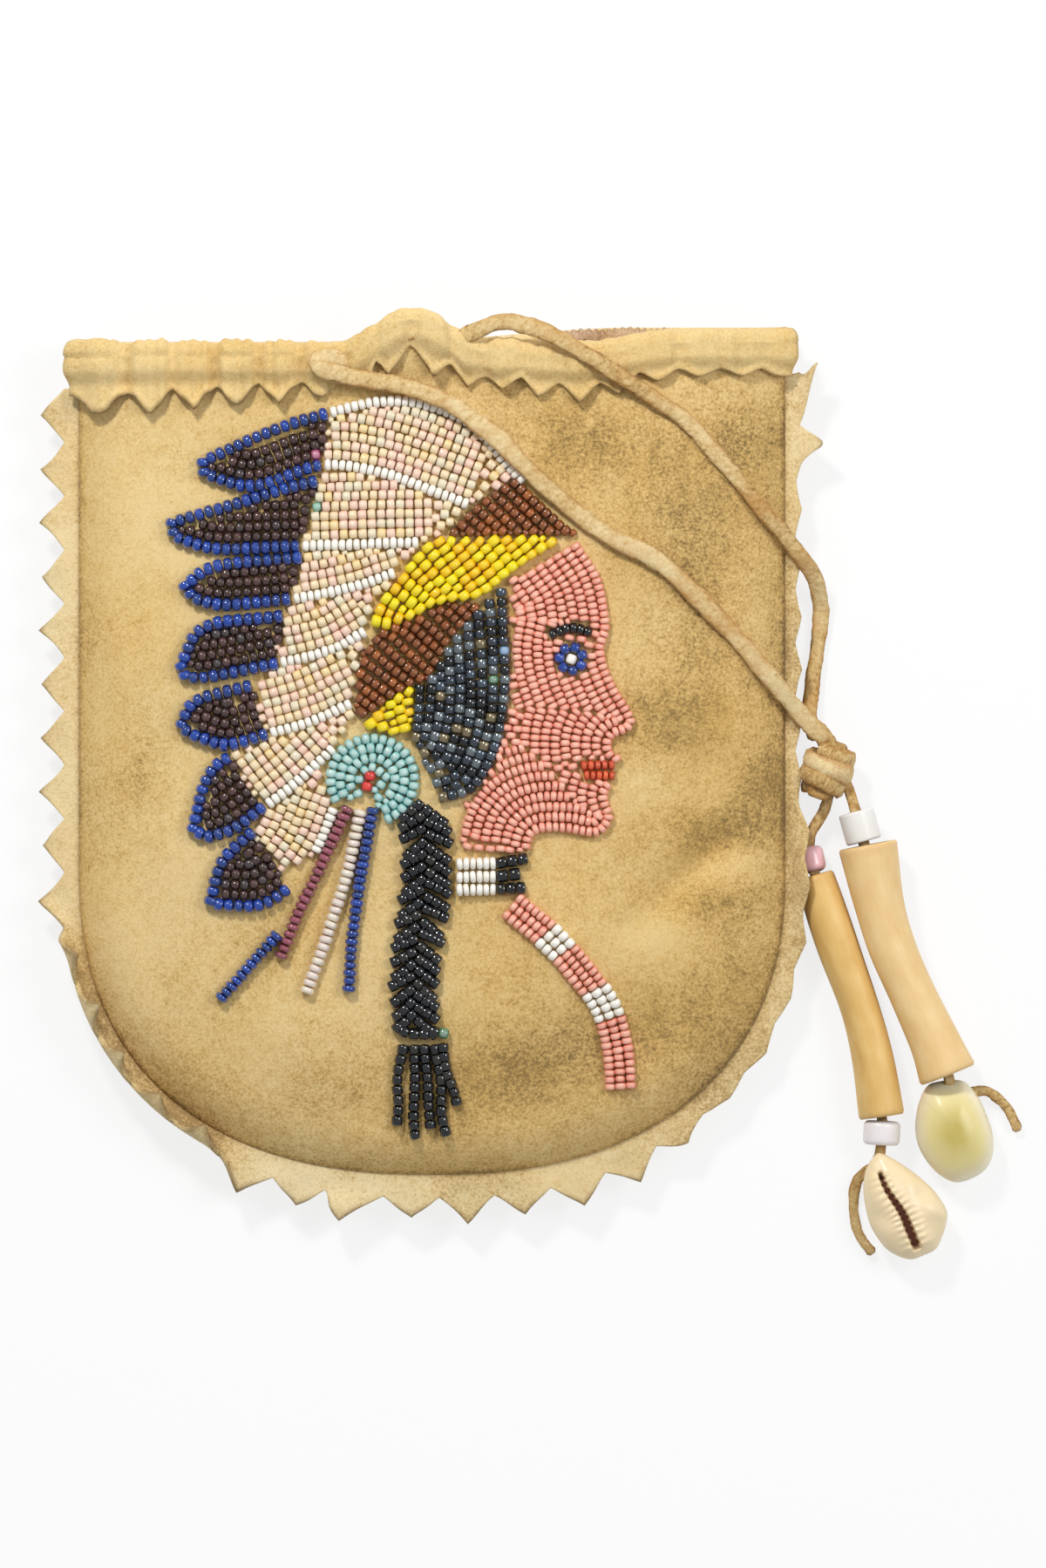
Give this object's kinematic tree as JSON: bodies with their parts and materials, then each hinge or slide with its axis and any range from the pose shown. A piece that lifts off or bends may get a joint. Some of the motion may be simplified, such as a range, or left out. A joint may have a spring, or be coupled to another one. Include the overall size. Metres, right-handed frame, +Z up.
{
  "type": "beaded drawstring pouch",
  "caption": "Flat-lying hide pouch with a pinked seam, a beaded profile head in a feathered bonnet, a thong drawstring, bone tube beads and cowrie shells.",
  "frame": {"origin": "middle of the pouch box, without the drawstring and its drops, on the surface it lies on", "axes": "+Z up out of the beaded front, +Y towards the mouth, +X towards the side with the bone tubes"},
  "size_m": [0.1924, 0.1856, 0.0201],
  "materials": {
    "hide_front": "matt, mottled ochre suede",
    "hide_back": "matt suede",
    "hide_pale": "matt, pale suede",
    "thong": "matt, rough",
    "bone": "satin bone with lengthwise grain",
    "white_glass": "opaque glass bead",
    "pink_glass": "glossy glass bead",
    "shell_cream": "polished cowrie shell",
    "shell_green": "polished cowrie shell",
    "blue_glass": "clear dark blue glass bead",
    "dark_brown_glass": "glossy glass bead",
    "cream_glass": "pearly glass bead",
    "amber_glass": "clear amber brown glass bead",
    "yellow_glass": "opaque glass bead",
    "iridescent_glass": "cut glass bead with an oily sheen",
    "turquoise_glass": "clear glass bead",
    "red_glass": "clear glass bead",
    "burgundy_glass": "clear glass bead",
    "clear_glass": "clear glass bead",
    "black_glass": "glossy glass bead",
    "rose_glass": "glossy rose glass bead"
  },
  "bodies": {
    "pouch": {"back_panel": "hide_back", "black_collar_beads": "black_glass", "blue_strand": "blue_glass", "braid": "iridescent_glass", "burgundy_strand": "burgundy_glass", "clear_strand": "clear_glass", "drawstring": "thong", "drawstring_knot": "thong", "face": "rose_glass", "feather_1_dark_fill": "dark_brown_glass", "feather_1_quill": "white_glass", "feather_1_tip_outline": "blue_glass", "feather_1_top_edge": "white_glass", "feather_1_vane": "cream_glass", "feather_2_dark_fill": "dark_brown_glass", "feather_2_quill": "white_glass", "feather_2_tip_outline": "blue_glass", "feather_2_vane": "cream_glass", "feather_3_dark_fill": "dark_brown_glass", "feather_3_quill": "white_glass", "feather_3_tip_outline": "blue_glass", "feather_3_vane": "cream_glass", "feather_4_dark_fill": "dark_brown_glass", "feather_4_quill": "white_glass", "feather_4_tip_outline": "blue_glass", "feather_4_vane": "cream_glass", "feather_5_dark_fill": "dark_brown_glass", "feather_5_quill": "white_glass", "feather_5_tip_outline": "blue_glass", "feather_5_vane": "cream_glass", "feather_6_dark_fill": "dark_brown_glass", "feather_6_quill": "white_glass", "feather_6_tip_outline": "blue_glass", "feather_6_vane": "cream_glass", "feather_7_dark_fill": "dark_brown_glass", "feather_7_quill": "white_glass", "feather_7_tip_outline": "blue_glass", "feather_7_vane": "cream_glass", "front_panel": "hide_front", "hair": "iridescent_glass", "left_cowrie": "shell_cream", "left_drop_thong": "thong", "loose_blue_strand": "blue_glass", "lower_brown_band": "amber_glass", "pinked_welt": "hide_pale", "red_centre_beads": "red_glass", "right_cowrie": "shell_green", "right_drop_thong": "thong", "rose_strand": "rose_glass", "rosette": "turquoise_glass", "upper_brown_band": "amber_glass", "white_collar_beads": "white_glass", "yellow_band": "yellow_glass", "yellow_patch": "yellow_glass"},
    "right_beads": {"white_tube_bead": "white_glass", "right_bone_tube": "bone"},
    "left_beads": {"pink_bead": "pink_glass", "left_bone_tube": "bone", "small_white_bead": "white_glass"}
  },
  "joints": [
    {"name": "right_beads_slide", "type": "slide", "parent": "pouch", "child": "right_beads", "axis": [-0.3294, 0.9442, 0], "range_m": [0, 0.0018]},
    {"name": "left_beads_slide", "type": "slide", "parent": "pouch", "child": "left_beads", "axis": [-0.2669, 0.9637, -0.0102], "range_m": [0, 0.0012]}
  ]
}
